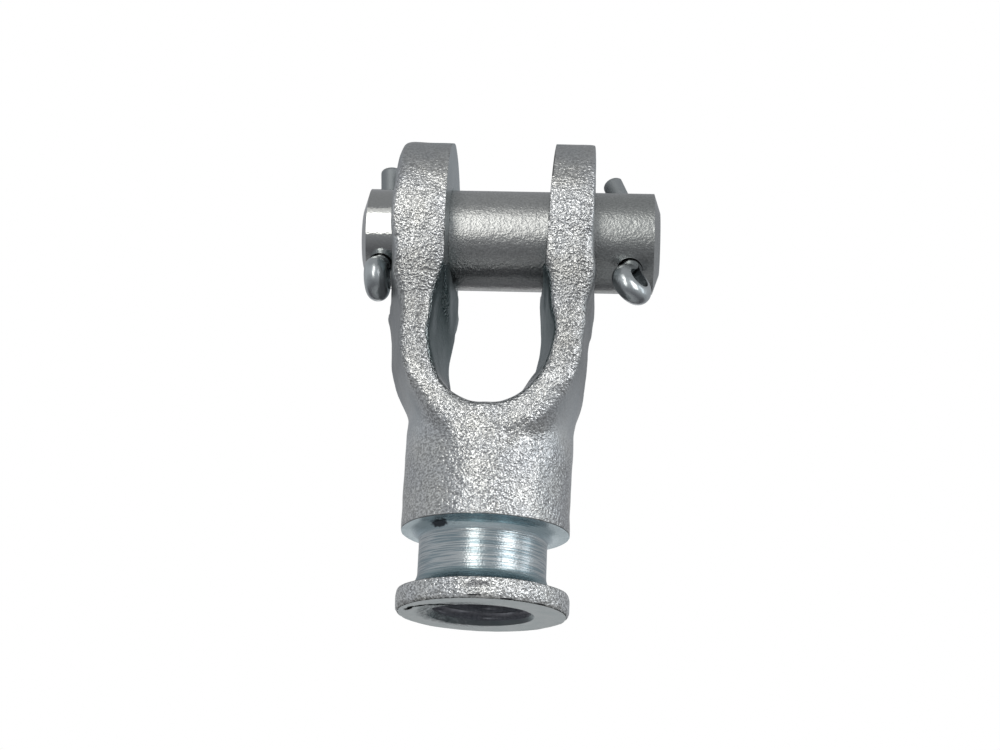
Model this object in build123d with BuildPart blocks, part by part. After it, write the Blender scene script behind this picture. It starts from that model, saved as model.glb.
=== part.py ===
"""Forged clevis rod end with a plain clevis pin and two split pins.

Frame: origin where the thread axis meets the flat bottom face, +Z up the
thread axis to the fork, +X along the clevis pin. Millimetres.
"""
from build123d import *
from math import acos, cos, degrees, radians, sin, tan
import os

os.makedirs("parts", exist_ok=True)

# ---------------------------------------------------------------- dimensions
# clevis pin
pin_radius = 8.0
pin_x = (-21.0, 26.0)            # its two ends, pushed towards +X
pin_end_taper = (1.0, 3.0)       # along the axis, radial
pin_height = 60.5                # pin axis above the bottom face
pin_running_gap = 0.08           # radial, in the ears
cotter_hole_radius = 2.0
cotter_x = (-17.75, 21.3)        # cross holes, left and right
cotter_tilt = 53.0               # legs point this far above +Y

# fork: ears are discs about the pin, finished flat on both sides
ear_radius = 15.7
left_ear_x = (-15.0, -7.0)       # outer face, slot face
right_ear_x = (8.8, 15.75)       # slot face at the pin axis, outer face
ear_rim_round = 0.3
left_top_round = (1.7, 0.6)      # corners of each ear's top, from the left
right_top_round = (0.7, 0.4)
slot_right_lean = 2.5            # the slot opens this many degrees to the right
slot_floor_z = 51.3              # the milled slot stops just under the pin
spot_face_radius = (13.1, 9.5)   # around the pin, left and right

# drafted forging: outlines at the parting plane (y = 0) and at the front flat
arm_crest_x = (-17.0, 16.1)      # outermost, at the parting plane
arm_half_depth = 13.3
arm_foot_depth = 12.2            # where the flats die into the neck
throat_floor_z = (32.0, 29.4)    # parting plane, front
band_round = 0.9                 # edges of the front and back flats

# turned end
neck_radius = 12.9
foot_z = 20.0                    # the flats have come in to arm_foot_depth here
flat_top_z = 44.0                # and start to come in here
shoulder_z = 12.4
groove_radius = 9.7
groove_round_top = 1.0
groove_round_bottom = 2.4
flange_radius = 13.2
flange_height = 3.1
flange_round = 0.35

# thread M16 x 1.5, cut right through into the throat
thread_minor_radius = 7.19
thread_entry_radius = 8.1
drill_depth = 33.5

# split pins, nominal 4 mm: half-round wire, flat sides together
wire_radius = 1.75
leg_gap = 0.1                    # between the two flats
eye_inner_radius = 1.8
eye_neck_radius = 3.0
leg_bend_start = 8.5
leg_bend_radius = 2.7
wire_tip_round = 0.7
left_eye_start = 8.5             # where the legs part towards the eye
left_eye_turn = 84.0             # nearly edge on
left_lean = 0.0                  # of the legs towards -X
left_bends = (38.0, 30.0)
left_tails = (6.3, 6.0)          # straight ends of the two legs
right_eye_start = 8.8
right_eye_turn = 42.0
right_lean = 1.2
right_bends = (26.0, 26.0)
right_tails = (7.0, 6.6)


# ---------------------------------------------------------------- clevis body
# outer outline of the forging, from the top of the left arm round to the right
outer_mid = [(arm_crest_x[0], pin_height), (arm_crest_x[0], 53.0), (-16.9, 47.6),
             (-16.1, 43.8), (-15.7, 38.5), (-13.1, 31.0), (-7.0, 21.0), (0.3, 17.5),
             (7.5, 21.0), (13.5, 30.0), (14.9, 37.0), (15.4, 43.0), (16.0, 47.6),
             (arm_crest_x[1], 53.0), (arm_crest_x[1], pin_height)]
outer_front = [(left_ear_x[0], pin_height), (left_ear_x[0], 53.5), (-13.5, 46.8), (-13.1, 37.4),
               (-10.4, 31.0), (-5.8, 26.0), (0.3, 22.5), (6.6, 26.0), (11.8, 31.6),
               (14.4, 37.0), (14.4, 46.0), (right_ear_x[1], 53.5),
               (right_ear_x[1], pin_height)]
# throat between the arms, open at the top
throat_mid = [(-5.2, 62.0), (-5.4, 49.0), (-6.2, 42.0), (-6.6, 37.8), (-4.4, 33.2),
              (0.3, throat_floor_z[0]), (4.0, 33.6), (6.9, 38.6), (7.5, 42.5),
              (7.2, 49.0), (7.2, 62.0)]
throat_front = [(left_ear_x[1], 62.0), (left_ear_x[1], 54.5), (-9.0, 47.5), (-8.5, 38.6),
                (-5.8, 31.8), (0.4, throat_floor_z[1]), (5.2, 31.2), (8.9, 35.8), (10.0, 42.0),
                (right_ear_x[0], 53.5), (right_ear_x[0], 62.0)]
up_down = [(0, -1), (0, 1)]

# outer faces of the ears
pin_plane_left = Plane(origin=(left_ear_x[0], 0, pin_height), z_dir=(1, 0, 0))
pin_plane_right = Plane(origin=(right_ear_x[1], 0, pin_height), z_dir=(1, 0, 0))


def section(points, y):
    """One closed section of the forging on the plane at this y."""
    plane = Plane(origin=(0, y, 0), x_dir=(1, 0, 0), z_dir=(0, -1, 0))
    with BuildSketch(plane) as sketch:
        with BuildLine():
            low = Spline(*points[1:-1], tangents=up_down)
            Polyline(low @ 1, points[-1], points[0], low @ 0)
        make_face()
    return sketch.sketch


with BuildPart() as clevis_body:
    # drafted fork blank: widest at the parting plane, flats front and back
    loft(sections=[section(outer_front, -arm_half_depth), section(outer_mid, 0)], ruled=True)
    loft(sections=[section(outer_mid, 0), section(outer_front, arm_half_depth)], ruled=True)
    # throat, drafted the same way, open at the top and running past both flats
    reach = 1.1 * arm_half_depth
    slope = reach / arm_half_depth
    throat_out = [(m[0] + (f[0] - m[0]) * slope, m[1] + (f[1] - m[1]) * slope)
                  for m, f in zip(throat_mid, throat_front)]
    loft(sections=[section(throat_out, -reach), section(throat_mid, 0)],
         ruled=True, mode=Mode.SUBTRACT)
    loft(sections=[section(throat_mid, 0), section(throat_out, reach)],
         ruled=True, mode=Mode.SUBTRACT)

    # rounded edges along the front and back flats
    flats = clevis_body.faces().filter_by(Plane.XZ)
    fillet(flats.edges().filter_by(GeomType.BSPLINE), band_round)
    # the flats come in towards the round neck
    past = 2 * arm_half_depth
    with BuildSketch(Plane.YZ.offset(-past)):
        for end in (-1, 1):
            with BuildLine():
                Polyline((end * arm_half_depth, flat_top_z), (end * arm_foot_depth, foot_z),
                         (end * arm_foot_depth, 0), (end * past, 0), (end * past, flat_top_z),
                         close=True)
            make_face()
    extrude(amount=2 * past, mode=Mode.SUBTRACT)
    # round neck, up to just under the throat
    with BuildSketch(Plane.XY):
        Circle(neck_radius)
    extrude(amount=throat_floor_z[1] - 0.4)

    # ears: discs about the pin axis, each with a rounded outer rim
    for faces, outer in ((left_ear_x, 0), (right_ear_x, 1)):
        with BuildSketch(Plane.XZ):
            with Locations((faces[0], pin_height)):
                Rectangle(faces[1] - faces[0], ear_radius, align=(Align.MIN, Align.MIN))
            rim = vertices().group_by(Axis.Y)[-1].sort_by(Axis.X)[-outer]
            fillet(rim, ear_rim_round)
        revolve(axis=Axis((0, 0, pin_height), (1, 0, 0)))
    # slot milled between the ears
    slot_top_z = pin_height + 2 * ear_radius
    lean = tan(radians(slot_right_lean))
    with BuildSketch(Plane.XZ):
        with BuildLine():
            Polyline((left_ear_x[1], slot_top_z), (left_ear_x[1], slot_floor_z),
                     (right_ear_x[0] - (pin_height - slot_floor_z) * lean, slot_floor_z),
                     (right_ear_x[0] + (slot_top_z - pin_height) * lean, slot_top_z), close=True)
        make_face()
    extrude(amount=2 * ear_radius, both=True, mode=Mode.SUBTRACT)
    # rounded corners of the ear tops, seen from the front
    ear_top_z = pin_height + ear_radius
    right_slot_x = right_ear_x[0] + ear_radius * lean
    for x, radius, inward in ((left_ear_x[0], left_top_round[0], 1),
                              (left_ear_x[1], left_top_round[1], -1),
                              (right_slot_x, right_top_round[0], 1),
                              (right_ear_x[1], right_top_round[1], -1)):
        with BuildSketch(Plane.XZ):
            with Locations((x, ear_top_z)):
                Rectangle(2 * radius, 2 * radius)
            with Locations((x + inward * radius, ear_top_z - radius)):
                Circle(radius, mode=Mode.SUBTRACT)
        extrude(amount=ear_radius, both=True, mode=Mode.SUBTRACT)
    # spot faces round the pin, outside each ear
    with BuildSketch(pin_plane_left):
        Circle(spot_face_radius[0])
    extrude(amount=-arm_half_depth, mode=Mode.SUBTRACT)
    with BuildSketch(pin_plane_right):
        Circle(spot_face_radius[1])
    extrude(amount=arm_half_depth, mode=Mode.SUBTRACT)
    # pin bores, one axis through both ears
    with BuildSketch(pin_plane_left):
        Circle(pin_radius + pin_running_gap)
    extrude(amount=right_ear_x[1] - left_ear_x[0], mode=Mode.SUBTRACT)
    # turned end: shoulder, groove and flange in one profile
    with BuildSketch(Plane.XZ):
        with BuildLine():
            Polyline((groove_radius, flange_height), (groove_radius, shoulder_z),
                     (2 * neck_radius, shoulder_z), (2 * neck_radius, flange_height),
                     close=True)
        make_face()
        inner = vertices().group_by(Axis.X)[0].sort_by(Axis.Y)
        fillet(inner[-1], groove_round_top)
        fillet(vertices().group_by(Axis.X)[0].sort_by(Axis.Y)[0], groove_round_bottom)
    revolve(axis=Axis.Z, mode=Mode.SUBTRACT)
    with BuildSketch(Plane.XY):
        Circle(flange_radius)
    extrude(amount=flange_height)
    fillet(clevis_body.edges().filter_by(GeomType.CIRCLE).filter_by(
        lambda e: e.center().Z < shoulder_z and e.radius > flange_radius - 0.1), flange_round)
    # thread core with its entry chamfer and the drill point that breaks into the throat
    with BuildSketch(Plane.XZ):
        with BuildLine():
            Polyline((0, 0), (thread_entry_radius, 0),
                     (thread_minor_radius, thread_entry_radius - thread_minor_radius),
                     (thread_minor_radius, drill_depth),
                     (0, drill_depth + thread_minor_radius * 0.6), close=True)
        make_face()
    revolve(axis=Axis.Z, mode=Mode.SUBTRACT)

clevis_body.part.label = "clevis_body"
export_step(clevis_body.part, "parts/clevis_body.step")

# ---------------------------------------------------------------- clevis pin
with BuildPart() as clevis_pin:
    with BuildSketch(Plane.XZ):
        with BuildLine():
            end_radius = pin_radius - pin_end_taper[1]
            Polyline((pin_x[0], pin_height), (pin_x[0], pin_height + end_radius),
                     (pin_x[0] + pin_end_taper[0], pin_height + pin_radius),
                     (pin_x[1] - pin_end_taper[0], pin_height + pin_radius),
                     (pin_x[1], pin_height + end_radius), (pin_x[1], pin_height), close=True)
        make_face()
    revolve(axis=Axis((0, 0, pin_height), (1, 0, 0)))
    cross = (0, cos(radians(cotter_tilt)), sin(radians(cotter_tilt)))
    for x in cotter_x:
        with BuildSketch(Plane(origin=(x, 0, pin_height), x_dir=(1, 0, 0), z_dir=cross)):
            Circle(cotter_hole_radius)
        extrude(amount=2 * pin_radius, both=True, mode=Mode.SUBTRACT)

clevis_pin.part.label = "clevis_pin"
export_step(clevis_pin.part, "parts/clevis_pin.step")


# ---------------------------------------------------------------- split pins
def split_pin(x, eye_start, turn, lean, bends, tails):
    """Half-round wire bent back on itself round an open eye.

    x: cross hole. eye_start: where the legs part towards the eye, from the pin
    axis. turn: degrees of the eye's plane about the hole axis, 0 with the first
    leg towards -X. lean: degrees of the legs towards -X, loose in the hole.
    bends, tails: angle and straight end of each leg.
    """
    along = Vector(-tan(radians(lean)), cos(radians(cotter_tilt)),
                   sin(radians(cotter_tilt))).normalized()
    side = Vector(-1, 0, 0).rotate(Axis((0, 0, 0), tuple(along)), turn)
    # local frame: +x out along the legs, +y towards the first leg's side
    frame = Plane(origin=(x, 0, pin_height), x_dir=along, z_dir=along.cross(side))
    half = leg_gap / 2
    bend_center = (leg_bend_start, half + leg_bend_radius)
    neck_center = (-eye_start, half + eye_neck_radius)
    reach = eye_inner_radius + eye_neck_radius
    neck_turn = degrees(acos(neck_center[1] / reach))
    eye_center = -eye_start - reach * sin(radians(neck_turn))

    def polar(center, radius, angle):
        return (center[0] + radius * cos(radians(angle)), center[1] + radius * sin(radians(angle)))

    def leg(bend, tail):
        """Points down one leg: tip, bend end, bend middle, bend start, neck."""
        bent = polar(bend_center, leg_bend_radius, bend - 90)
        tip = (bent[0] + tail * cos(radians(bend)), bent[1] + tail * sin(radians(bend)))
        return [tip, bent, polar(bend_center, leg_bend_radius, bend / 2 - 90),
                (leg_bend_start, half), (-eye_start, half),
                polar(neck_center, eye_neck_radius, -90 - neck_turn / 2),
                polar(neck_center, eye_neck_radius, -90 - neck_turn)]

    first = leg(bends[0], tails[0])
    second = [(p[0], -p[1]) for p in leg(bends[1], tails[1])]
    with BuildPart() as wire:
        with BuildLine(frame) as path:
            Line(first[0], first[1])
            ThreePointArc(*first[1:4])
            Line(first[3], first[4])
            ThreePointArc(*first[4:7])
            ThreePointArc(first[6], (eye_center - eye_inner_radius, 0), second[6])
            ThreePointArc(*second[4:7])
            Line(second[3], second[4])
            ThreePointArc(*second[1:4])
            Line(second[0], second[1])
        run = path.wires()[0]
        with BuildSketch(Plane(origin=run @ 0, x_dir=(run % 0).cross(frame.z_dir),
                               z_dir=run % 0)):
            Circle(wire_radius)
            Rectangle(2 * wire_radius, 3 * wire_radius,
                      align=(Align.MAX, Align.CENTER), mode=Mode.SUBTRACT)
        sweep(path=run)
        tips = wire.faces().filter_by(GeomType.PLANE).sort_by(SortBy.AREA)[:2]
        fillet(tips.edges().filter_by(GeomType.CIRCLE), wire_tip_round)
    return wire


cotter_pin_left = split_pin(cotter_x[0], left_eye_start, left_eye_turn, left_lean,
                            left_bends, left_tails)
cotter_pin_left.part.label = "cotter_pin_left"
export_step(cotter_pin_left.part, "parts/cotter_pin_left.step")

cotter_pin_right = split_pin(cotter_x[1], right_eye_start, right_eye_turn, right_lean,
                             right_bends, right_tails)
cotter_pin_right.part.label = "cotter_pin_right"
export_step(cotter_pin_right.part, "parts/cotter_pin_right.step")
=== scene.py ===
# %% [markdown]
# # A forged clevis rod end
# This fork joins a rod to a linkage. It is drop forged from steel, shot blasted, machined only
# where it has to fit, and zinc plated. A plain pin crosses its two ears, and a bent split pin
# keeps each end of the pin from sliding out.
#
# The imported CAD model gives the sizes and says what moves. This lesson gives the forging its
# soft corners and blasted grain, cuts the machined faces into it, and finishes each piece.
# Blender works in metres here, and a size written in millimetres is multiplied by MM where it
# is used. +Z runs up the thread's axis to the fork, and +X along the pin.

# %% Load the frame
from math import cos, pi, radians, sin, tan

import bmesh
import bpy
import numpy as np
from mathutils import Matrix, Vector, noise


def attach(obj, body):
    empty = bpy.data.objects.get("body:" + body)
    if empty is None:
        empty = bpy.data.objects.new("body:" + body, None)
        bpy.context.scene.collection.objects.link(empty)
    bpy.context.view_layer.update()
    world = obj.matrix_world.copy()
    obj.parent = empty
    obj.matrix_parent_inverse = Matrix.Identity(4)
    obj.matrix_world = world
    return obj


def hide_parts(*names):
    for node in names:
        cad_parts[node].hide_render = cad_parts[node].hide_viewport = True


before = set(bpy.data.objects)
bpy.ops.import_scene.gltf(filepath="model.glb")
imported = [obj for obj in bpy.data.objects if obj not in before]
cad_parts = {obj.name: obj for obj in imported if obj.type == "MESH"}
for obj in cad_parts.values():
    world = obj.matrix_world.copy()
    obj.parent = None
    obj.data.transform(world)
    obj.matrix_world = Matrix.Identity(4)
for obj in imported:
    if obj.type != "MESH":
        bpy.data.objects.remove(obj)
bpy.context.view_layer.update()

# %% [markdown]
# ## Turned shapes and cuts
# A lathe and a milling machine leave simple shapes, turned ones and flat ones, and here those
# shapes are the cutters. The Screw modifier could turn a profile too. A function that writes
# the points is as short, and turns round the thread's axis or the pin's alike. `lathe` does
# that from pairs of (radius, height). `cut` subtracts a shape with a Boolean modifier, and the
# new faces take the cutter's own material, so that a machined face is also finished as one.

# %% Turned shapes
MM = 0.001
PIN_HEIGHT = 60.5     # the pin's axis above the bottom face
UPRIGHT = Matrix()
ALONG_PIN = Matrix.Translation((0, 0, PIN_HEIGHT * MM)) @ Matrix.Rotation(radians(90), 4, "Y")


def circle(bm, radii, height, place=UPRIGHT):
    """Adds a circle of points at a height, one point for each radius, in mm."""
    return [bm.verts.new(place @ Vector((r * MM * cos(2 * pi * k / len(radii)),
                                         r * MM * sin(2 * pi * k / len(radii)), height * MM)))
            for k, r in enumerate(radii)]


def join(bm, low, high):
    """Adds the faces between two circles. Where a circle is one point, they are triangles."""
    for k in range(len(low)):
        after = (k + 1) % len(low)
        bm.faces.new(list(dict.fromkeys([low[k], low[after], high[after], high[k]])))


def lathe(bm, profile, place=UPRIGHT, steps=96, ring=False):
    """Adds a closed turned shape to bm. profile is in mm, in the place matrix's own frame."""
    rows = []
    for radius, height in profile:
        if radius < 1e-6:
            rows.append([bm.verts.new(place @ Vector((0, 0, height * MM)))] * steps)
        else:
            rows.append(circle(bm, [radius] * steps, height, place))
    for low, high in zip(rows, rows[1:] + rows[:1] if ring else rows[1:]):
        join(bm, low, high)


def finish_mesh(bm, name):
    """Turns bm into a mesh with its faces pointing outwards."""
    bmesh.ops.recalc_face_normals(bm, faces=bm.faces)
    mesh = bpy.data.meshes.new(name)
    bm.to_mesh(mesh)
    bm.free()
    return mesh


def add_object(name, data):
    obj = bpy.data.objects.new(name, data)
    bpy.context.collection.objects.link(obj)
    return obj


# %% Modifiers and cuts
def bake_modifiers(obj):
    """Replaces obj's mesh by what its modifiers make of it."""
    depsgraph = bpy.context.evaluated_depsgraph_get()
    mesh = bpy.data.meshes.new_from_object(obj.evaluated_get(depsgraph))
    obj.modifiers.clear()
    obj.data = mesh


def cut(obj, cutter_mesh, material):
    """Cuts cutter_mesh out of obj. The cut faces take this material."""
    cutter_mesh.materials.clear()
    cutter_mesh.materials.append(material)
    cutter = add_object("cutter", cutter_mesh)
    step = obj.modifiers.new("cut", "BOOLEAN")
    step.operation, step.solver, step.object = "DIFFERENCE", "EXACT", cutter
    step.material_mode = "TRANSFER"
    bake_modifiers(obj)
    bpy.data.objects.remove(cutter)
    print(cutter_mesh.name, "cut:", len(obj.data.polygons), "faces now")


# %% [markdown]
# ## Shader nodes in few words
# Every finish here is zinc on steel, so all of them are metal, and what tells them apart is the
# surface under the zinc. Their patterns could be pictures on an unwrapped mesh. They come from
# noise in Object coordinates instead, so nothing has to be unwrapped, and a pattern's size is
# a plain number of millimetres. `node` adds one shader node: an input given as a number or a
# colour is set on it, and one given as a socket is linked. The others are short names for
# what comes up again and again.

# %% Single nodes
def node(tree, kind, inputs=None, **settings):
    """Adds a shader node. inputs maps a socket's name or number to a value or a socket."""
    made = tree.nodes.new("ShaderNode" + kind)
    for key, value in settings.items():
        setattr(made, key, value)
    for key, value in (inputs or {}).items():
        if isinstance(value, bpy.types.NodeSocket):
            tree.links.new(value, made.inputs[key])
        else:
            made.inputs[key].default_value = value
    return made


def math(tree, operation, *values):
    return node(tree, "Math", dict(enumerate(values)), operation=operation).outputs[0]


def vector_math(tree, operation, *values):
    return node(tree, "VectorMath", dict(enumerate(values)), operation=operation).outputs


def remap(tree, value, from_low, from_high, to_low=0.0, to_high=1.0):
    """Value from one range to another, kept inside the second."""
    return node(tree, "MapRange", {"Value": value, "From Min": from_low, "From Max": from_high,
                                   "To Min": to_low, "To Max": to_high}).outputs[0]


def blend(tree, share, first, second):
    """Colour between first and second."""
    return node(tree, "Mix", {0: share, 6: first, 7: second}, data_type="RGBA").outputs[2]


def dim(tree, color, share):
    """The colour times a number."""
    return node(tree, "VectorMath", {0: color, "Scale": share}, operation="SCALE").outputs[0]


# %% Places and patterns
def place_of(tree, scale=(1, 1, 1), move=(0, 0, 0)):
    """Object coordinates, moved and then scaled."""
    coordinates = node(tree, "TexCoord").outputs["Object"]
    moved = vector_math(tree, "ADD", coordinates, move)[0]
    return vector_math(tree, "MULTIPLY", moved, scale)[0]


def axes_of(tree):
    """X, Y and Z in the object's space, in metres."""
    return node(tree, "SeparateXYZ", {0: place_of(tree)}).outputs


def noise_field(tree, size, detail=2.0, roughness=0.5, stretch=(1, 1, 1)):
    """Noise with lumps about size millimetres across. stretch scales the space it fills."""
    return node(tree, "TexNoise", {"Vector": place_of(tree, stretch), "Scale": 1000.0 / size,
                                   "Detail": detail, "Roughness": roughness}).outputs["Fac"]


def distance_from(tree, centre):
    """Distance from a point, both in mm."""
    offset = place_of(tree, (1000, 1000, 1000), tuple(-c * MM for c in centre))
    return vector_math(tree, "LENGTH", offset)["Value"]


# %% A metal and its bumps
def metal(name, roughness):
    """A new metal material: itself, its node tree and its Principled BSDF."""
    made = bpy.data.materials.new(name)
    made.use_nodes = True
    shader = made.node_tree.nodes["Principled BSDF"]
    shader.inputs["Metallic"].default_value = 1.0
    shader.inputs["Roughness"].default_value = roughness
    return made, made.node_tree, shader


def bump(tree, shader, height, depth):
    """Bends the shader's normal by a height field, depth millimetres for a height of 1."""
    made = node(tree, "Bump", {"Height": height, "Distance": depth * MM, "Strength": 1.0})
    tree.links.new(made.outputs[0], shader.inputs["Normal"])


def tell(name, tree):
    """Prints how many nodes a material or a group is made of."""
    print(name + ":", len(tree.nodes), "nodes")


# %% Node groups
SOCKETS = {1: "NodeSocketFloat", 3: "NodeSocketVector"}     # by how many numbers one takes


def new_group(name, takes, gives):
    """An empty node group with its inputs and outputs. takes maps an input to its default."""
    made = bpy.data.node_groups.new(name, "ShaderNodeTree")
    for label, value in takes.items():
        kind = SOCKETS[np.size(value)]
        socket = made.interface.new_socket(label, in_out="INPUT", socket_type=kind)
        socket.default_value = value
    for label in gives:
        made.interface.new_socket(label, in_out="OUTPUT", socket_type=SOCKETS[1])
    given = made.nodes.new("NodeGroupInput").outputs
    return made, given, made.nodes.new("NodeGroupOutput").inputs


def place_group(tree, group, values):
    """Places a group in tree with its own values, and gives its outputs."""
    return node(tree, "Group", values, node_tree=group).outputs


# %% [markdown]
# ## Blasted grain
# Shot blasting covers steel with small soft pits, and the zinc follows them. Modelled pits
# would take millions of faces, so here they are a height that bends the shader's normals.
# Noise of one size looks like cloth, so a second, about three times as broad, is added to it.
# Both are read at places squashed along X and Y, which makes the lumps a little wider than
# they are tall.
#
# The forging and the pin both have this grain, at their own size and strength, so it is a node
# group. Lump Size in millimetres and Amount go in. Height and Shade come out. Shade is painted
# light and shade: the zinc is painted a little darker in the pits, as painted shade, and lighter
# on the lumps, as a painted highlight.

# %% Blasted grain
grain, given, result = new_group("blasted grain", {"Lump Size": 0.4, "Amount": 1.0},
                                 ["Height", "Shade"])
squashed = place_of(grain, (0.8, 0.8, 1.0))
fine = math(grain, "DIVIDE", 1000.0, given["Lump Size"])
lumps, broad = (node(grain, "TexNoise", {"Vector": squashed, "Scale": scale, "Detail": 1.0,
                                         "Roughness": 0.5}).outputs["Fac"]
                for scale in (fine, math(grain, "MULTIPLY", fine, 0.3)))
both = math(grain, "ADD", lumps, math(grain, "MULTIPLY", broad, 0.9))
height = math(grain, "SUBTRACT", both, 0.95)     # so that it is 0 on average
# painted shade in the pits and a painted highlight on the lumps
shade = remap(grain, lumps, 0.36, 0.64, -0.34, 0.28)
grain.links.new(math(grain, "MULTIPLY", height, given["Amount"]), result["Height"])
grain.links.new(math(grain, "ADD", 1.0, math(grain, "MULTIPLY", shade, given["Amount"])),
                result["Shade"])
tell(grain.name, grain)

# %% [markdown]
# ## Drifting tone and ragged spots
# Two more effects come back on several finishes. Plating never has one tone: it drifts in soft
# clouds a few millimetres across. And where steel is folded, bruised or stained, a small dark
# patch stays, with a ragged edge. Both could be painted, but a painting has to be made again
# when a size changes. "drifting tone" gives noise as a share between 0 and 1. "ragged spot"
# gives 1 inside a patch with a centre and three radii, and lets noise break up its edge.

# %% Drifting tone
drift, given, result = new_group("drifting tone", {"Cloud Size": 5.0}, ["Share"])
soft = node(drift, "TexNoise", {
    "Vector": place_of(drift), "Scale": math(drift, "DIVIDE", 1000.0, given["Cloud Size"]),
    "Detail": 3.0, "Roughness": 0.5}).outputs["Fac"]
drift.links.new(remap(drift, soft, 0.35, 0.65), result["Share"])
tell(drift.name, drift)


def clouds(tree, size):
    """0 to 1 in soft clouds about size millimetres across."""
    return place_group(tree, drift, {"Cloud Size": size})["Share"]


# %% Ragged spot
patch, given, result = new_group("ragged spot", {"Centre": (0, 0, 0), "Radii": (1, 1, 1)},
                                 ["Mask"])
offset = vector_math(patch, "SUBTRACT", place_of(patch, (1000, 1000, 1000)), given["Centre"])[0]
in_radii = vector_math(patch, "DIVIDE", offset, given["Radii"])[0]
away = vector_math(patch, "LENGTH", in_radii)["Value"]
ragged = math(patch, "ADD", away, math(patch, "MULTIPLY", noise_field(patch, 0.5), 0.9))
patch.links.new(remap(patch, ragged, 1.5, 1.2), result["Mask"])
tell(patch.name, patch)


def spot(tree, centre, radii):
    """1 inside a ragged-edged patch round a point, both in mm, and 0 outside it."""
    return place_group(tree, patch, {"Centre": centre, "Radii": radii})["Mask"]


# %% [markdown]
# ## Forged zinc
# The front and back bands of the fork are blasted bright. Its sides and the tops of the ears
# are smoother, and their tone is painted darker, as painted shade. The walls inside the fork
# are painted a dark grey-green, as painted shade too. Separate materials would meet in hard
# lines, so one material blends its tones by three values that are stored on the mesh's points
# once the forging has its shape: "blast" is how much grain there is, and a low blast also paints
# the darker tone, "recess" marks the walls inside for their painted shade, and "zinc" is painted
# shade on the arms and the ear tops and a lighter tone on the flange and beside the neck's seam.

# %% Forged zinc
forged, tree, shader = metal("forged zinc", 0.3)
blast, recess_shade, zinc = (node(tree, "Attribute", attribute_name=name).outputs["Fac"]
                       for name in ("blast", "recess_shade", "zinc"))
cover = place_group(tree, grain, {"Lump Size": 0.31, "Amount": blast})
cloudy = clouds(tree, 6.0)
blasted_tone = blend(tree, cloudy, (0.53, 0.54, 0.55, 1), (0.58, 0.58, 0.565, 1))
# the sides and the ear tops: a darker tone, as painted shade
smooth_shaded_tone = blend(tree, cloudy, (0.38, 0.40, 0.41, 1), (0.42, 0.43, 0.435, 1))
# the walls inside the fork: a darker grey-green, as painted shade
inner_shade_tone = blend(tree, cloudy, (0.24, 0.29, 0.295, 1), (0.30, 0.34, 0.35, 1))
tone = blend(tree, blast, smooth_shaded_tone, blasted_tone)
# zinc adds painted shade on the arms and the ear tops, and the grain's Shade paints pits and lumps
tone = dim(tree, tone, math(tree, "MULTIPLY", zinc, cover["Shade"]))
tone = blend(tree, recess_shade, tone, inner_shade_tone)
tree.links.new(remap(tree, blast, 0.2, 1.0, 0.45, 0.22), shader.inputs["Roughness"])
bump(tree, shader, cover["Height"], 0.2)

# %% [markdown]
# ## Laps on the flange
# Where hot steel folds over itself in the die, a thin dark line stays open, which smiths call
# a lap. The flange's rim has three short ones along its lower edge and a dark oval patch above
# them. They could be cut, but they are finer than the mesh's faces, so each is a ragged spot
# of dark tone at its own place.

# %% Laps on the flange
DARK_OVAL = ((0.1, -13.2, 2.05), (1.8, 1.0, 0.6))     # centre and radii in mm
LAPS = (((-0.3, -13.2, 0.42), (1.3, 1.0, 0.14)), ((4.6, -12.4, 0.12), (1.3, 1.0, 0.14)),
        ((9.6, -9.1, 0.1), (1.1, 1.4, 0.12)))
first, second, third = (spot(tree, centre, radii) for centre, radii in LAPS)
lap = math(tree, "MAXIMUM", first, math(tree, "MAXIMUM", second, third))
dark_oval = math(tree, "MULTIPLY", spot(tree, *DARK_OVAL), 0.7)
tone = blend(tree, dark_oval, tone, (0.12, 0.12, 0.13, 1))
tone = blend(tree, math(tree, "MULTIPLY", lap, 0.9), tone, (0.03, 0.03, 0.035, 1))
tree.links.new(tone, shader.inputs["Base Color"])
tell(forged.name, tree)

# %% [markdown]
# ## Milled zinc
# The slot's walls, the spot faces and the bore are milled or bored smooth, and plated a
# grey-green. An anisotropic highlight could draw the tool's marks. They hardly show under
# zinc, so a drift of tone and a trace of fine bump are enough.

# %% Milled zinc
machined, tree, shader = metal("milled zinc", 0.3)
tone = blend(tree, clouds(tree, 4.0), (0.36, 0.41, 0.42, 1), (0.42, 0.47, 0.48, 1))
tree.links.new(tone, shader.inputs["Base Color"])
bump(tree, shader, noise_field(tree, 0.3), 0.03)
tell(machined.name, tree)

# %% [markdown]
# ## End face
# The bottom is faced on the lathe, which opens another lap in the forging as a dark, broken
# line, and the hole's mouth is torn at one side. Cracks this fine could be cut only with far
# more faces, so both are masks. The lap is a ring about a point off the axis, broken up by
# noise and kept to the front, and the torn mouth is noise kept near the hole at the left. A
# crack reflects nothing, but metal turns into a mirror at a shallow angle whatever its colour,
# so Specular Tint goes to black in it as well.

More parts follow.
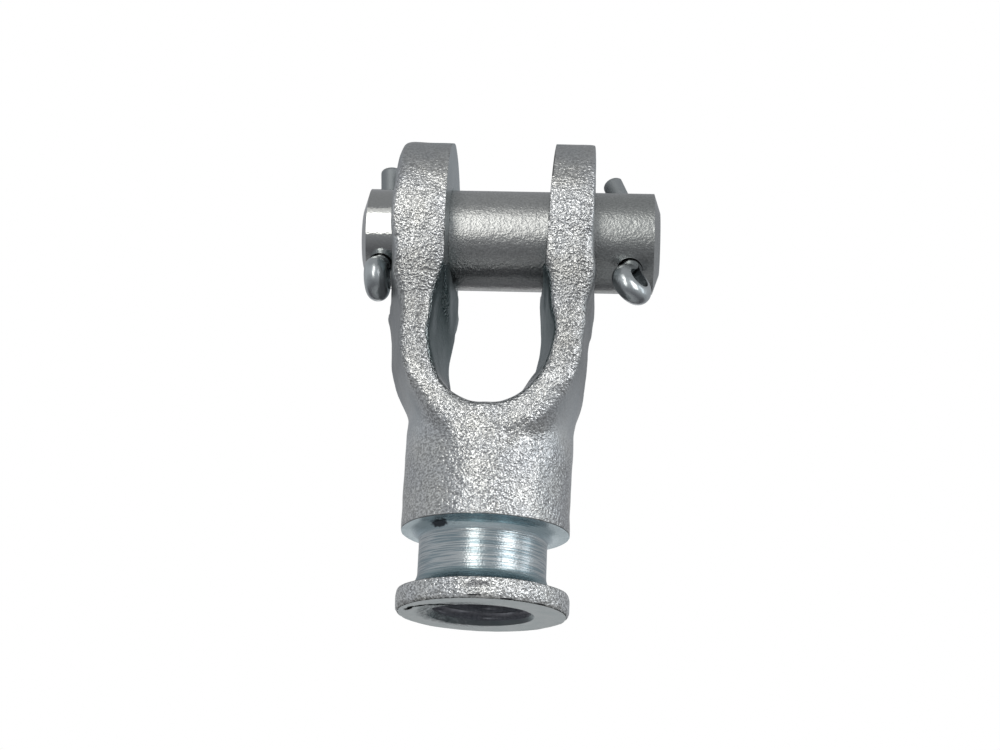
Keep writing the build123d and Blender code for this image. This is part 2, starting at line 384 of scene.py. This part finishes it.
# %% End face
faced, tree, shader = metal("faced zinc", 0.3)
across = axes_of(tree)
off_line = math(tree, "SUBTRACT", distance_from(tree, (-4.8, -1.2, 0)), 6.1)
ragged = math(tree, "ADD", math(tree, "ABSOLUTE", off_line),
              math(tree, "MULTIPLY", noise_field(tree, 0.9), 1.2))
at_front = remap(tree, across[1], -0.002, -0.003)
lap = math(tree, "MULTIPLY", remap(tree, ragged, 1.05, 0.85), at_front)
at_mouth = math(tree, "MULTIPLY", remap(tree, distance_from(tree, (0, 0, 0)), 9.8, 8.6),
                remap(tree, across[0], 0.002, -0.006))
torn = math(tree, "MULTIPLY", at_mouth,
            remap(tree, noise_field(tree, 0.7), 0.5, 0.42, 0.0, 0.3))
crack = math(tree, "MAXIMUM", lap, torn)
tone = blend(tree, clouds(tree, 3.0), (0.29, 0.35, 0.355, 1), (0.36, 0.40, 0.405, 1))
tree.links.new(blend(tree, math(tree, "MULTIPLY", crack, 0.9), tone, (0.04, 0.045, 0.05, 1)),
               shader.inputs["Base Color"])
tree.links.new(blend(tree, crack, (1, 1, 1, 1), (0, 0, 0, 1)), shader.inputs["Specular Tint"])
relief = math(tree, "ADD", 0.03, math(tree, "MULTIPLY", at_mouth, 0.3))
bump(tree, shader, math(tree, "MULTIPLY", noise_field(tree, 0.45), relief), 1.0)
tell(faced.name, tree)

# %% [markdown]
# ## Turned zinc
# The groove is turned and never blasted, so the tool's fine rings stay. An anisotropic
# highlight would blur them into one, and up close they show singly. Noise that is stretched
# far along X and Y changes only with height, which is what rings do, so it drives both tone
# and bump. The plating has a blue tint. The groove's fillet is painted darker and bluer, as
# painted shade, and under the shoulder the tone is painted lighter at the front than behind,
# as painted light and shade. A drop of plating has dried under the shoulder as a dark stain.

# %% Turned zinc
turned, tree, shader = metal("turned zinc", 0.25)
rings = noise_field(tree, 0.17, 1.0, 0.5, (0.03, 0.03, 1.0))
tone = blend(tree, remap(tree, rings, 0.40, 0.56), (0.28, 0.35, 0.38, 1), (0.53, 0.56, 0.57, 1))
across = axes_of(tree)
height = math(tree, "MULTIPLY", across[2], 1000.0)
# painted shade: the groove's fillet is darker and bluer
fillet_shade = remap(tree, height, 5.6, 4.6, 0.0, 0.8)
tone = blend(tree, fillet_shade, tone, (0.19, 0.29, 0.32, 1))
at_front = remap(tree, across[1], -0.0075, -0.01)
# painted light and shade under the shoulder: lighter at the front than behind
shoulder_light_and_shade = blend(tree, at_front, (0.42, 0.52, 0.56, 1), (0.66, 0.76, 0.80, 1))
tone = blend(tree, remap(tree, height, 10.8, 11.5), tone, shoulder_light_and_shade)
stain = math(tree, "MULTIPLY", spot(tree, (-5.9, -7.7, 12.0), (1.6, 2.4, 0.62)), 0.92)
tree.links.new(blend(tree, stain, tone, (0.02, 0.022, 0.03, 1)), shader.inputs["Base Color"])
specks = math(tree, "MULTIPLY", noise_field(tree, 0.3), 0.5)
bump(tree, shader, math(tree, "ADD", rings, specks), 0.06)
tell(turned.name, tree)

# %% [markdown]
# ## Tapped thread
# A tap leaves its cut slightly torn, and little zinc reaches the inside of the hole, so the
# thread is duller than the rest. Single scratches could be drawn on its flanks, but they are
# too small to tell apart, so noise stretched along the hole lets its tone drift instead.

# %% Tapped thread
tapped, tree, shader = metal("tapped thread", 0.5)
chatter = noise_field(tree, 0.5, 2.0, 0.5, (1.0, 1.0, 0.4))
tree.links.new(blend(tree, remap(tree, chatter, 0.35, 0.65), (0.44, 0.45, 0.48, 1),
                     (0.56, 0.57, 0.60, 1)), shader.inputs["Base Color"])
bump(tree, shader, chatter, 0.03)
tell(tapped.name, tree)

# %% [markdown]
# ## Pin zinc
# The pin is turned from bar, and its zinc is satin with a fine grain, the blasting grain at
# about a third of its strength. Its left end is almost polished, and past the right ear its
# tone is painted darker, as painted shade. Two or three materials could do that if the mesh
# were cut between them. The mesh stays whole here, so roughness, grain and tone change along X.

# %% Pin zinc
pin_finish, tree, shader = metal("pin zinc", 0.2)
along = axes_of(tree)[0]
satin = remap(tree, along, -0.0155, -0.0145)
cover = place_group(tree, grain, {"Lump Size": 0.27,
                                  "Amount": remap(tree, satin, 0, 1, 0.1, 0.38)})
# past the right ear the tone is darker: painted shade
right_end_shade = remap(tree, along, 0.0155, 0.0165)
tone = blend(tree, right_end_shade, (0.435, 0.44, 0.435, 1), (0.37, 0.38, 0.375, 1))
tree.links.new(dim(tree, tone, cover["Shade"]), shader.inputs["Base Color"])
tree.links.new(remap(tree, satin, 0, 1, 0.11, 0.3), shader.inputs["Roughness"])
bump(tree, shader, cover["Height"], 0.13)
tell(pin_finish.name, tree)

# %% [markdown]
# ## Wire zinc
# Split pins are drawn wire, smooth and shiny at the eye. Pliers bent the legs open, and above
# the top of the pin the legs are darker and rougher. They could have a material of their own,
# but it would start at a hard line. So tone and roughness change with height, over 2 mm at the
# top of the pin.

# %% Wire zinc
wire_finish, tree, shader = metal("wire zinc", 0.25)
# above the top of the pin the legs turn darker and rougher
above_pin = remap(tree, axes_of(tree)[2], 0.067, 0.069)
tree.links.new(remap(tree, above_pin, 0, 1, 0.25, 0.6), shader.inputs["Roughness"])
tree.links.new(blend(tree, above_pin, (0.52, 0.55, 0.56, 1), (0.33, 0.35, 0.36, 1)),
               shader.inputs["Base Color"])
bump(tree, shader, noise_field(tree, 0.8), 0.05)
tell(wire_finish.name, tree)

# %% [markdown]
# ## The forging blank
# The blank is the fork as it leaves the hammer: no slot, no bore, no groove. It could be
# sculpted anew, but it would drift from the sizes. So it is a copy of the CAD body with those
# cuts filled by turned plugs, and Remesh turns the lot into one even skin of small faces,
# which the next steps can push about and smooth.

# %% Blank
VOXEL = 0.4
BORE_RADIUS, EAR_RADIUS = 8.08, 15.7
LEFT_EAR, RIGHT_EAR = (-15.0, -7.0), (8.8, 15.75)     # where each ear's faces are along X
NECK_RADIUS, SHOULDER = 12.9, 12.4                    # the shoulder is the groove's upper side
STOCK = 0.8                                           # left on the bottom, to be faced off

bm = bmesh.new()
bm.from_mesh(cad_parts["clevis_body"].data)
bmesh.ops.remove_doubles(bm, verts=bm.verts, dist=1e-6)
neck = NECK_RADIUS - 0.1
# plugs for the groove, the facing stock and the tapped hole, in that order
lathe(bm, [(0, 2.0), (neck, 2.0), (neck, SHOULDER + 1.5), (0, SHOULDER + 1.5)])
lathe(bm, [(0, -STOCK), (12.3, -STOCK), (12.3, 0.6), (0, 0.6)])
lathe(bm, [(0, 1.0), (8.5, 1.0), (8.5, 28.6), (0, 28.6)])
# and in each ear one for the bore, and a wider one for the spot face and the ear's outline
for outer, inner, turn in ((*LEFT_EAR, 1), (RIGHT_EAR[1], RIGHT_EAR[0], -1)):
    plug, rim, reach = BORE_RADIUS + 2, EAR_RADIUS - 0.01, inner + 0.9 * turn
    lathe(bm, [(0, outer), (plug, outer), (plug, reach), (0, reach)], ALONG_PIN)
    start = outer + 2.0 * turn
    lathe(bm, [(0, start), (rim, start), (rim, reach), (0, reach)], ALONG_PIN)
clevis = add_object("clevis_forging", finish_mesh(bm, "clevis_forging"))
clevis.data.materials.clear()
clevis.data.materials.append(forged)
step = clevis.modifiers.new("voxels", "REMESH")
step.mode, step.voxel_size, step.use_smooth_shade = "VOXEL", VOXEL * MM, True
bake_modifiers(clevis)
print("blank:", len(clevis.data.vertices), "points")

# %% [markdown]
# ## Fuller and thinner places
# No forging is as even as its drawing: dies wear, and metal fills one corner more than
# another. Lattices or sculpt brushes could push these places, but plain shifts in x and y
# repeat exactly. Each shift is an amount in millimetres times masks that fade in and out over
# x, y or z, so nothing gets an edge.

# %% Points as arrays
def mesh_arrays(mesh):
    """Points in mm and normals of a mesh."""
    points, normals = (np.empty(len(mesh.vertices) * 3, dtype=np.float32) for _ in range(2))
    mesh.vertices.foreach_get("co", points)
    mesh.vertices.foreach_get("normal", normals)
    return points.reshape(-1, 3) / MM, normals.reshape(-1, 3)


def fade(value, start, end):
    """0 at start to 1 at end, smoothly, for arrays and numbers."""
    share = np.clip((value - start) / (end - start), 0.0, 1.0)
    return share * share * (3 - 2 * share)


def within(value, low, high, edge):
    """1 between low and high, falling to 0 over edge outside them."""
    return fade(value, low - edge, low) * (1 - fade(value, high, high + edge))


# %% Cheeks of the ears
CHEEK_HEIGHTS, CHEEK_DEPTHS = (45.9, 57.7), (13.3, 15.45)
points, normals = mesh_arrays(clevis.data)
x, y, z = points.T     # views, so they follow every shift of the points

# below the pin each ear's cheek runs straight down to the arm
rim = np.sqrt(np.maximum(EAR_RADIUS ** 2 - (z - PIN_HEIGHT) ** 2, 0))
cheek = np.interp(z, CHEEK_HEIGHTS, CHEEK_DEPTHS)
beside = (z > CHEEK_HEIGHTS[0]) & (z < CHEEK_HEIGHTS[1])
fuller = np.where(beside, np.maximum(cheek - np.maximum(rim, CHEEK_DEPTHS[0]), 0), 0)
points[:, 1] += np.sign(y) * fuller * fade(np.abs(y), 7.0, 12.0)
print("cheeks: up to", round(float(fuller.max()), 2), "mm fuller")

# %% Arms
# the left arm's inner edge is fuller at the ear, up to the slot's wall, and its throat wall
# straighter
EDGE_LIMIT = LEFT_EAR[1] + 0.05
inner_left = within(x, -9.6, -6.0, 1.5) * within(z, 44.0, 53.0, 4.0)
moved = x + 0.9 * inner_left * fade(-y, 8.0, 12.0)
points[:, 0] = np.where(x < -3, np.minimum(moved, np.maximum(x, EDGE_LIMIT)), x)
points[:, 0] += (0.3 * within(x, -8.0, -4.0, 1.0) * within(z, 37.0, 43.0, 4.0)
                 * (1 - fade(np.abs(y), 4.0, 9.0)))

# its outer edge is thick beside the spot face, then narrows
outer_left = 1 - fade(x, -14.0, -11.5)
points[:, 0] += outer_left * fade(np.abs(y), 8.0, 12.0) * (
    0.3 * within(z, 52.0, 53.5, 1.5) - 0.45 * within(z, 46.5, 49.5, 1.5)
    - 0.4 * within(z, 57.0, 62.0, 2.0))

# the right arm's outer edge swells below the ear
points[:, 0] += (0.6 * fade(x, 11.0, 13.5) * within(z, 43.0, 51.0, 3.0)
                 * fade(-y, 8.0, 12.0))
print("arms: x from", round(float(x.min()), 2), "to", round(float(x.max()), 2), "mm")

# %% Neck and left ear
# the neck stands a little to one side of the machined hole
points[:, 0] += (0.25 * (1 - fade(z, 28.0, 34.0))
                 + 0.25 * within(z, 24.0, 27.0, 3.0) * fade(x, 6.0, 11.0))

# and the left ear's outer face stands proud where the spot face will cut it
PROUD = 0.2
from_pin = np.hypot(y, z - PIN_HEIGHT)
proud = (1 - fade(from_pin, 14.0, 15.0)) * (x < -14.0) * (normals[:, 0] < -0.7)
points[:, 0] += proud * np.minimum(LEFT_EAR[0] - PROUD - points[:, 0], 0)
print("left ear:", int((proud > 0).sum()), "points stand proud")

# %% [markdown]
# ## Eased edges
# Hot steel never quite fills the sharp corners of a die. On this fork that shows as a narrow
# bevel down the +X edge of each front and back band. A Bevel modifier needs one clean edge to
# follow, and the remeshed skin has none. So the edge is measured: at each height, the points
# of a band that lie farthest to +X give its line, and points sink by how near it they are.

# %% Eased edges
BEVEL_WIDTH, BEVEL_SLOPE = 1.1, 0.55
shelves = np.arange(33.5, 57.0, 0.5)
edges = {}
for arm in (-1, 1):
    for turn in (-1, 1):
        flat = (x * arm > 0) & (normals[:, 1] * turn > 0.8)
        line = np.array([np.percentile(points[flat & (np.abs(z - level) < 0.5), 0], 98)
                         for level in shelves])
        edges[arm, turn] = np.convolve(np.pad(line, 3, "edge"), np.ones(7) / 7, "valid")
        inside = np.interp(z, shelves, edges[arm, turn]) - points[:, 0]
        eased = (x * arm > 0) * fade(turn * y, 9.5, 12.0) * within(z, 34.5, 55.0, 2.0)
        points[:, 1] -= turn * BEVEL_SLOPE * np.clip(BEVEL_WIDTH - inside, 0, BEVEL_WIDTH) * eased
clevis.data.vertices.foreach_set("co", (points * MM).astype(np.float32).ravel())
print("edge lines:", {key: round(float(line.mean()), 2) for key, line in edges.items()})

# %% [markdown]
# ## Rounded seams
# The dies round every corner, most of all where the ears grow out of the arms and the arms
# out of the neck. Subdivision Surface rounds a shape too, but only over a cage drawn for it.
# The Smooth modifier works on any mesh, and a vertex group tells it where. A few rounds
# everywhere soften the corners, and many rounds at the seams turn them into broad blends.

# %% Rounded seams
ear_root = within(z, 44.0, 57.0, 2.0) * fade(np.abs(y), 9.0, 11.0)
neck_seam = within(z, 19.0, 31.0, 3.0) * fade(np.hypot(x, y), 9.0, 11.5)
throat_foot = within(z, 27.0, 36.0, 2.5) * (1 - fade(np.abs(x), 8.0, 11.0))
ear_rim = within(from_pin, 14.4, 17.0, 0.8) * (1 - fade(x, -14.2, -13.2)) * fade(z, 54.0, 66.0)
groups = {"bands": within(z, 24.0, 48.0, 3.0),
          "seams": np.maximum.reduce([0.35 * ear_root, neck_seam, 0.6 * throat_foot,
                                      0.7 * ear_rim])}
for name, weights in groups.items():
    group = clevis.vertex_groups.new(name=name)
    for index in np.flatnonzero(weights > 0.01).tolist():
        group.add([index], float(weights[index]), "REPLACE")
    print(name + ":", int((weights > 0.01).sum()), "points")
for name, rounds, group in (("corners", 8, ""), ("edges", 14, "bands"), ("blends", 60, "seams")):
    step = clevis.modifiers.new(name, "SMOOTH")
    step.factor, step.iterations, step.vertex_group = 0.5, rounds, group
bake_modifiers(clevis)

# %% [markdown]
# ## Waves and dents
# Forged skin is never quite flat. Scale and worn dies leave waves about a tenth of a
# millimetre deep, and a few dents and humps are larger. A Displace modifier with a cloud
# texture would do for the waves alone. Here one array of depths holds them all, and each
# point sinks along its normal by its depth.

# %% Waves and dents
DENTS = ((0.45, (4.0, -12.5, 24.7), 1.8), (0.35, (6.0, -11.8, 25.5), 2.0),
         (-0.5, (0.6, 0.0, 32.6), 3.0), (-0.35, (0.3, -12.6, 30.0), 3.0),
         (-0.4, (-0.6, -10.5, 33.0), 2.4), (-0.7, (6.0, -8.0, 35.2), 4.0),
         (-0.7, (6.0, 2.0, 35.2), 4.0))     # depth, centre, radius; a hump's depth is negative
WAVE_DEPTH, LONG_WAVE, SHORT_WAVE = 0.12, 4.5, 2.1
points, normals = mesh_arrays(clevis.data)
waves = np.array([noise.noise(Vector(p) / LONG_WAVE) + 0.5 * noise.noise(Vector(p) / SHORT_WAVE)
                  for p in points.tolist()])
from_pin = np.hypot(points[:, 1], points[:, 2] - PIN_HEIGHT)
spot_faced = (1 - fade(from_pin, 14.0, 15.0)) * (points[:, 0] < -14.0)
sunk = (WAVE_DEPTH - WAVE_DEPTH * waves) * (1 - spot_faced)
for depth, centre, radius in DENTS:
    away = np.linalg.norm(points - np.array(centre), axis=1)
    sunk += depth * (1 - fade(away, 0.0, radius))
points -= normals * sunk[:, None]
clevis.data.vertices.foreach_set("co", (points * MM).astype(np.float32).ravel())
print("depths, mm:", round(float(sunk.min()), 2), "to", round(float(sunk.max()), 2))

# %% [markdown]
# ## Where the finish changes
# The forged finish asks the mesh where it is blasted, where it gets painted shade inside the
# fork, and where its tone is painted lighter or darker. Painting those masks by hand would not
# survive a change of size. Here they follow from where a point is and which way it faces, and
# are stored as attributes, one value a point, that the shader reads by name.

# %% Where the finish changes
x, y, z = points.T
# on the sides and the ear tops blast is low: less grain, and a darker tone as painted shade
on_side = fade(np.abs(normals[:, 0]), 0.72, 0.93) * fade(z, 25.0, 31.0)
on_top = fade(z, 64.0, 74.0)
beside_seam = within(z, 27.0, 29.0, 6.0) * fade(np.abs(x), 7.5, 11.0)
on_flange = 1 - fade(z, 3.0, 6.0)
blast = np.clip(1 - 0.75 * on_side - 0.65 * on_top - 0.5 * beside_seam, 0.2, 1.0) + 0.3 * on_flange
# zinc: painted shade on the arms and the ear tops, and a lighter tone on the flange and beside the
# neck's seam
zinc = (1 - 0.24 * within(z, 37.0, 51.0, 4.0) + 0.2 * on_flange + 0.3 * beside_seam
        - 0.1 * fade(z, 66.0, 72.0))

# recess: painted shade on the walls inside the fork and in its throat
facing_gap = np.where(x < 0, normals[:, 0], -normals[:, 0])
in_fork = within(x, -10.0, 10.8, 0.5)
walls = fade(facing_gap, 0.58, 0.8) * fade(z, 33.0, 37.0)
throat = (1 - fade(np.abs(y), 8.0, 10.0)) * fade(z, 36.0, 39.0)
recess_shade = in_fork * np.maximum(walls, throat)
# the bevel on the left arm's inner edge gets the wall's painted shade too
for turn in (-1, 1):     # the bevel on the left arm's inner edge is as dark as the wall
    past_edge = x - np.interp(z, shelves, edges[-1, turn])
    bevel = fade(past_edge, 0.1, 0.5) * (x < -4) * (turn * y > 7) * within(z, 40.0, 53.0, 2.0)
    recess_shade = np.maximum(recess_shade, bevel)
for name, values in (("blast", blast), ("recess_shade", recess_shade), ("zinc", zinc)):
    clevis.data.attributes.new(name, "FLOAT", "POINT").data.foreach_set(
        "value", values.astype(np.float32))
    print(name + ":", round(float(values.min()), 2), "to", round(float(values.max()), 2))

# %% [markdown]
# ## The milled slot
# Machining comes next, and leaves sharp edges in the soft forging, which is what makes a
# machined forging look the way it does. First a cutter runs between the ears, and its right
# side leans out by a few degrees, as the ear beside it does. A scaled cube could cut straight
# walls only, so the cutter is a prism with its four corners written out.

# %% Slot
SLOT_FLOOR, SLOT_LEAN = 51.3, tan(radians(2.5))


def right_wall(height):
    """Where the slot's right side is along X at this height."""
    return RIGHT_EAR[0] + (height - PIN_HEIGHT) * SLOT_LEAN


bm = bmesh.new()
top = PIN_HEIGHT + 2 * EAR_RADIUS
corners = [(LEFT_EAR[1], SLOT_FLOOR), (right_wall(SLOT_FLOOR), SLOT_FLOOR),
           (right_wall(top), top), (LEFT_EAR[1], top)]
front, back = ([bm.verts.new((cx * MM, cy * MM, cz * MM)) for cx, cz in corners]
               for cy in (-20, 20))
bm.faces.new(front)
bm.faces.new(back[::-1])
for k in range(4):
    bm.faces.new((front[k], back[k], back[(k + 1) % 4], front[(k + 1) % 4]))
cut(clevis, finish_mesh(bm, "slot"), machined)

# %% [markdown]
# ## The pin's bore and its spot faces
# One boring bar goes through both ears, so that the pin runs true, and a spot facer cleans a
# flat ring on the outside of each, where the split pin turns close by. Each step could be a
# cylinder with a cut of its own. One turned cutter along the pin does it all at once, with
# small chamfers at the bore's mouths and a flared edge round the left spot face.

# %% Bore and spot faces
LEFT_SPOT_FACE, RIGHT_SPOT_FACE = 13.1, 9.5
CHAMFER, FLARE = 0.4, 0.5
bm = bmesh.new()
reach, edge = 25, BORE_RADIUS + CHAMFER
lathe(bm, [(0, -reach), (LEFT_SPOT_FACE + FLARE, -reach),
           (LEFT_SPOT_FACE + FLARE, LEFT_EAR[0] - FLARE),
           (LEFT_SPOT_FACE, LEFT_EAR[0]), (edge, LEFT_EAR[0]),
           (BORE_RADIUS, LEFT_EAR[0] + CHAMFER), (BORE_RADIUS, LEFT_EAR[1] - CHAMFER),
           (edge, LEFT_EAR[1]), (edge, RIGHT_EAR[0]),
           (BORE_RADIUS, RIGHT_EAR[0] + CHAMFER), (BORE_RADIUS, RIGHT_EAR[1] - CHAMFER),
           (edge, RIGHT_EAR[1]), (RIGHT_SPOT_FACE, RIGHT_EAR[1]),
           (RIGHT_SPOT_FACE, reach), (0, reach)], ALONG_PIN, steps=144)
cut(clevis, finish_mesh(bm, "bore and spot faces"), machined)

# %% [markdown]
# ## End face and groove
# Both are turned about the thread's axis. A plane could slice the bottom off, but a turned
# cutter also makes the chamfer that leads the thread in, and so gives it the same finish. The
# groove is cut by a ring with a round at its top and a fuller one at its foot.

# %% End face and groove
THREAD_ENTRY = 8.1
GROOVE_RADIUS, FLANGE_HEIGHT = 9.7, 3.1
TOP_ROUND, FOOT_ROUND = 1.8, 2.8     # a little fuller than in the CAD model
bm = bmesh.new()
lathe(bm, [(0, -5), (20, -5), (20, 0), (THREAD_ENTRY, 0), (THREAD_ENTRY - 1, 1), (0, 1)])
cut(clevis, finish_mesh(bm, "end face"), faced)

bm = bmesh.new()
top_round = [(GROOVE_RADIUS + TOP_ROUND * (1 - sin(a)), SHOULDER - TOP_ROUND * (1 - cos(a)))
             for a in np.radians(range(0, 91, 15))]
foot_round = [(GROOVE_RADIUS + FOOT_ROUND * (1 - cos(a)),
               FLANGE_HEIGHT + FOOT_ROUND * (1 - sin(a))) for a in np.radians(range(0, 91, 9))]
lathe(bm, [(20, SHOULDER), *top_round, *foot_round, (20, FLANGE_HEIGHT)], steps=144, ring=True)
cut(clevis, finish_mesh(bm, "groove"), turned)

# %% [markdown]
# ## The tapped hole
# The CAD model leaves the thread out, because the mating rod needs only its core. Seen from
# below it shows, so it is cut here. The Screw modifier could sweep a tooth, but its ends stay
# open and a Boolean cut needs a closed shape. So this cutter is a round rod of many rows,
# whose radius at each point follows from how far round and how far up it is.

# %% Thread
THREAD_CORE, THREAD_MAJOR, THREAD_PITCH = 7.19, 7.95, 1.5
THREAD_TOP = 29                          # the hole is plain above this height
CUTTER_FOOT, CUTTER_TOP = -1.5, 35.0     # past the end face, and into the throat
ROWS, COLUMNS = 6, 72                    # rows to a turn, and points to a row


def thread_radius(turns):
    """The cut's radius at this share of a turn: a flat root, two flanks, a flat crest."""
    flank = min(max((abs(turns % 1.0 - 0.5) - 0.06) / 0.32, 0.0), 1.0)
    return THREAD_MAJOR + (THREAD_CORE - THREAD_MAJOR) * flank


bm = bmesh.new()
levels = []
for row in range(int((CUTTER_TOP - CUTTER_FOOT) / THREAD_PITCH * ROWS) + 1):
    level = CUTTER_FOOT + row * THREAD_PITCH / ROWS
    radii = [thread_radius(level / THREAD_PITCH - k / COLUMNS) if level < THREAD_TOP
             else THREAD_CORE for k in range(COLUMNS)]
    levels.append(circle(bm, radii, level))
for low, high in zip(levels, levels[1:]):
    join(bm, low, high)
bm.faces.new(levels[0])
bm.faces.new(levels[-1])
cut(clevis, finish_mesh(bm, "thread"), tapped)

# %% [markdown]
# ## Hand over the clevis
# The forging wants soft shading, and the machined cuts want crisp edges. An Edge Split
# modifier gives both, but it tears the mesh open along every crisp edge. Here all faces are
# smooth, and edges steeper than 32 degrees are marked sharp. The piece rides on the clevis
# body and stands for its CAD node, which stays in the simulation for its collision shape.

# %% Hand over the clevis
clevis.data.shade_smooth()
clevis.data.set_sharp_from_angle(angle=radians(32))
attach(clevis, "clevis")
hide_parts("clevis_body")
print("clevis:", sum(len(p.vertices) - 2 for p in clevis.data.polygons), "triangles")

# %% [markdown]
# ## Pin and split pins
# A turned bar and two bent wires are exact shapes. They could be curves with a bevel, but
# their CAD solids already have the right form, so they keep it and only get their finishes.

# %% Finish the pins
for name, finish in (("clevis_pin", pin_finish), ("cotter_pin_left", wire_finish),
                     ("cotter_pin_right", wire_finish)):
    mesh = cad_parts[name].data
    mesh.materials.clear()
    mesh.materials.append(finish)
    print(name, "is finished in", finish.name)

# %% [markdown]
# ## Camera
# The camera looks up at the fork from below its foot, so that the end face shows, through a
# lens long enough to keep the ears parallel. A Track To constraint would aim it too, but not
# roll it. So its place is given in the part's frame, in millimetres, with three turns: to
# the side, up, and a small roll.

# %% Camera
EYE = Vector((16.6312, -265.8478, -52.5741))
YAW, PITCH, ROLL = 0.0569, 0.3277, 0.0416     # radians
camera_data = bpy.data.cameras.new("camera")
camera_data.sensor_width, camera_data.lens = 36.0, 64.93
camera_data.clip_start, camera_data.clip_end = 0.01, 20
camera = add_object("camera", camera_data)
forward = Vector((-sin(YAW) * cos(PITCH), cos(YAW) * cos(PITCH), sin(PITCH)))
level = Vector((cos(YAW), sin(YAW), 0))
above = level.cross(forward)
to_right = cos(ROLL) * level + sin(ROLL) * above
to_top = -sin(ROLL) * level + cos(ROLL) * above
camera.matrix_world = Matrix.Translation(EYE * MM) @ Matrix(
    (to_right, to_top, -forward)).transposed().to_4x4()
bpy.context.scene.camera = camera
print("camera:", round(EYE.length), "mm from the origin")

# %% [markdown]
# ## The room
# Polished metal shows its surroundings, so the room is part of the finish. A picture of a
# studio would light it too, but a few ramps over the direction of a ray are easier to tune:
# pale walls that darken towards the floor, a dim ceiling, a dim patch behind the fork and a
# dark one below that. The camera sees plain white, and so does metal that mirrors the
# backdrop behind the fork, by way of Light Path.

# %% World
scene = bpy.context.scene
scene.view_settings.view_transform = "Standard"
world = bpy.data.worlds.new("studio")
scene.world = world
world.use_nodes = True
tree = world.node_tree
tree.nodes.clear()
toward = node(tree, "SeparateXYZ", {0: node(tree, "TexCoord").outputs["Generated"]}).outputs
room = blend(tree, remap(tree, toward[2], -0.9, 0.25), (0.12, 0.12, 0.13, 1),
             (0.56, 0.58, 0.60, 1))
room = blend(tree, remap(tree, toward[2], 0.5, 0.8), room, (0.42, 0.43, 0.44, 1))
behind = math(tree, "MULTIPLY", remap(tree, toward[1], 0.2, 0.8),
              remap(tree, toward[2], -0.05, 0.3))
room = blend(tree, behind, room, (0.38, 0.39, 0.41, 1))
under = math(tree, "MULTIPLY", remap(tree, toward[1], 0.0, 0.3),
             remap(tree, toward[2], -0.25, -0.45))
room = blend(tree, under, room, (0.13, 0.13, 0.14, 1))
from_backdrop = math(tree, "ABSOLUTE", math(tree, "ADD", toward[2], 0.2))
backdrop = math(tree, "MULTIPLY", remap(tree, toward[1], 0.9, 0.97),
                remap(tree, from_backdrop, 0.16, 0.06))
path = node(tree, "LightPath").outputs
mirrored = math(tree, "ADD", path["Is Glossy Ray"], path["Is Transmission Ray"])
white = math(tree, "MAXIMUM", path["Is Camera Ray"], math(tree, "MULTIPLY", mirrored, backdrop))
background = node(tree, "Background", {"Color": blend(tree, white, room, (1, 1, 1, 1))})
node(tree, "OutputWorld", {"Surface": background.outputs[0]})
tell(world.name, tree)

# %% [markdown]
# ## Softboxes
# Round metal shows a lamp as a bright band. Point lamps and a sun would draw thin, hard ones,
# so each lamp is a large, soft rectangle, placed for the band that it draws. The tall
# key_lamp lights the grain of the front, and the faint key_flag above it lets that band fade
# out upwards. side_lamp gives each round part its second highlight, and the weak, bluish
# rim_lamp touches the right edges.

# %% Softboxes
AIM = Vector((0, 0, 0.04))
DISTANCE = 0.93


def softbox(name, azimuth, elevation, width, height, power, color=(1, 1, 1)):
    """An area lamp aimed at the fork. Azimuth 0 is in front, 90 to the right."""
    a, e = radians(azimuth), radians(elevation)
    back = Vector((sin(a) * cos(e), -cos(a) * cos(e), sin(e)))
    data = bpy.data.lights.new(name, "AREA")
    data.shape, data.size, data.size_y = "RECTANGLE", width, height
    data.energy, data.color = power, color
    lamp = add_object(name, data)
    lamp.matrix_world = (Matrix.Translation(AIM + back * DISTANCE)
                         @ (-back).to_track_quat("-Z", "Y").to_matrix().to_4x4())
    print(name + ":", power, "W")


softbox("key_lamp", -12, 16, 0.25, 0.82, 1.95, (1.0, 0.985, 0.94))
softbox("key_flag", -12, 46, 0.25, 0.2, 0.12, (1.0, 0.985, 0.94))
softbox("side_lamp", 50, 17, 0.40, 0.6, 2.0)
softbox("rim_lamp", 88, 17, 0.2, 0.6, 0.5, (0.88, 0.95, 1.0))

# %% [markdown]
# ## Floor
# The fork stands on a pale disc. The metal mirrors it, and from above it takes a soft shadow
# and fades into the white with no horizon. A shadow catcher would need the compositor, so
# this floor mixes in a Transparent BSDF more and more towards its rim. The camera looks up
# through it, so it is clear from below as well, by Backfacing, and open in the middle, where
# the fork rests.

# %% Floor
FLOOR_RADII, FLOOR_STEPS = (12.6, 70), 96
FADE_START, FADE_END = 0.018, 0.062                    # metres from the middle
UNDER_NECK = Matrix.Translation((0.25 * MM, 0, 0))     # the neck stands to one side
bm = bmesh.new()
near, far = (circle(bm, [radius] * FLOOR_STEPS, 0, UNDER_NECK) for radius in FLOOR_RADII)
join(bm, far, near)
floor = add_object("floor", finish_mesh(bm, "floor"))

pale = bpy.data.materials.new("pale floor")
pale.use_nodes = True
tree = pale.node_tree
shader = tree.nodes["Principled BSDF"]
shader.inputs["Base Color"].default_value = (0.7, 0.7, 0.7, 1)
shader.inputs["Roughness"].default_value = 0.9
from_middle = vector_math(tree, "LENGTH", place_of(tree))["Value"]
clear = math(tree, "MAXIMUM", node(tree, "NewGeometry").outputs["Backfacing"],
             remap(tree, from_middle, FADE_START, FADE_END))
mixed = node(tree, "MixShader", {0: clear, 1: shader.outputs[0],
                                 2: node(tree, "BsdfTransparent").outputs[0]})
tree.links.new(mixed.outputs[0], tree.nodes["Material Output"].inputs[0])
floor.data.materials.append(pale)
tell(pale.name, tree)
